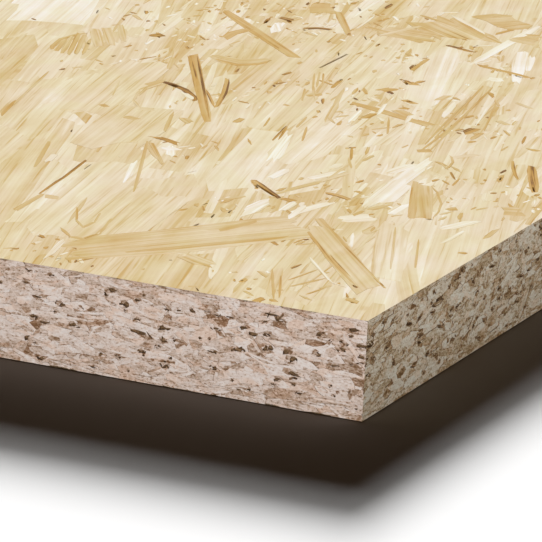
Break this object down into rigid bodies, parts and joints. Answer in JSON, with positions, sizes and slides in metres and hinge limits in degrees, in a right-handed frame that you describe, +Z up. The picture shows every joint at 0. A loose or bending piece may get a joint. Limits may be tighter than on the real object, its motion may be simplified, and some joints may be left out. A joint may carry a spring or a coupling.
{
  "type": "osb panel",
  "caption": "Flat rectangular oriented strand board panel with square sawn edges and long strands pressed into both faces, for sheathing, decking and shelving.",
  "frame": {"origin": "centre of the underside, on the surface that the panel lies on", "axes": "+Y along the panel's length, the way most face strands lie, +X across its width, +Z up through its thickness"},
  "size_m": [0.61, 1.22, 0.018],
  "materials": {
    "pressed_strands": "matt pressed wood strands, unsealed"
  },
  "bodies": {
    "root": {"osb_panel": "pressed_strands"}
  },
  "joints": []
}
